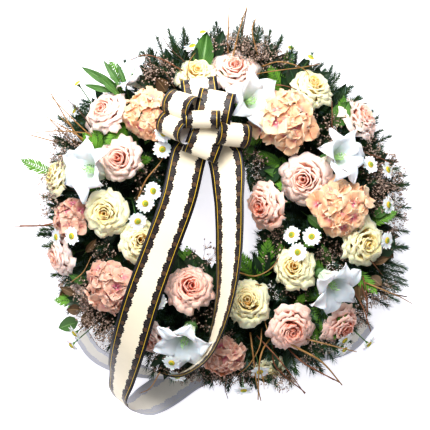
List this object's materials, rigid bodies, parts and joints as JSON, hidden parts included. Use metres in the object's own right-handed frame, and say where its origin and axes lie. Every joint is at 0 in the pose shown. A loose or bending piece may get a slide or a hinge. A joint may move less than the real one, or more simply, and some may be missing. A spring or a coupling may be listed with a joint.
{
  "type": "memorial wreath",
  "caption": "Round funeral wreath of artificial roses, lilies, hydrangeas, daisies and fir on a flat-backed ring, with a lace-edged ribbon bow and long tails.",
  "frame": {"origin": "below the middle of the overall box, in the plane of the ring's flat back", "axes": "+Z out of the wreath's face, +Y towards the bow, +X to the viewer's right"},
  "size_m": [0.631, 0.663, 0.2131],
  "materials": {
    "foam": "matte, open-celled",
    "fir": "matte needles",
    "pink_petals": "soft matte petal cloth",
    "cream_petals": "soft matte petal cloth",
    "white_petals": "soft translucent petal cloth",
    "peach_petals": "soft matte petal cloth",
    "daisy_petals": "soft matte petal cloth",
    "ribbon": "smooth woven ribbon with printed black lace borders",
    "wire": "painted dull",
    "leaf": "matte leaf cloth",
    "twig": "dry, rough"
  },
  "bodies": {
    "root": {"bow_loops": "ribbon", "ribbon_tail_left": "ribbon", "ribbon_tail_right": "ribbon", "bow_wire": "wire", "lily_1": "white_petals", "lily_2": "white_petals", "lily_3": "white_petals", "lily_4": "white_petals", "lily_5": "white_petals", "lily_6": "white_petals", "pink_rose_1": "pink_petals", "pink_rose_2": "pink_petals", "pink_rose_3": "pink_petals", "pink_rose_4": "pink_petals", "pink_rose_5": "pink_petals", "pink_rose_6": "pink_petals", "pink_rose_7": "pink_petals", "pink_rose_8": "pink_petals", "pink_rose_9": "pink_petals", "pink_rose_10": "pink_petals", "pink_rose_11": "pink_petals", "pink_rose_12": "pink_petals", "cream_rose_1": "cream_petals", "cream_rose_2": "cream_petals", "cream_rose_3": "cream_petals", "cream_rose_4": "cream_petals", "cream_rose_5": "cream_petals", "cream_rose_6": "cream_petals", "cream_rose_7": "cream_petals", "cream_rose_8": "cream_petals", "cream_rose_9": "cream_petals", "hydrangea_1": "peach_petals", "hydrangea_2": "peach_petals", "hydrangea_3": "peach_petals", "hydrangea_4": "peach_petals", "hydrangea_5": "peach_petals", "hydrangea_6": "peach_petals", "daisy_spray_1": "daisy_petals", "daisy_spray_2": "daisy_petals", "daisy_spray_3": "daisy_petals", "daisy_spray_4": "daisy_petals", "daisy_spray_5": "daisy_petals", "daisy_spray_6": "daisy_petals", "daisy_spray_7": "daisy_petals", "daisy_spray_8": "daisy_petals", "leaf_sprig_1": "leaf", "leaf_sprig_2": "leaf", "twig_bunch_1": "twig", "twig_bunch_2": "twig", "twig_bunch_3": "twig", "twig_bunch_4": "twig", "twig_bunch_5": "twig", "foam_ring": "foam", "fir_bunch_1": "fir", "fir_bunch_2": "fir", "fir_bunch_3": "fir", "fir_bunch_4": "fir", "fir_bunch_5": "fir", "fir_bunch_6": "fir"}
  },
  "joints": []
}
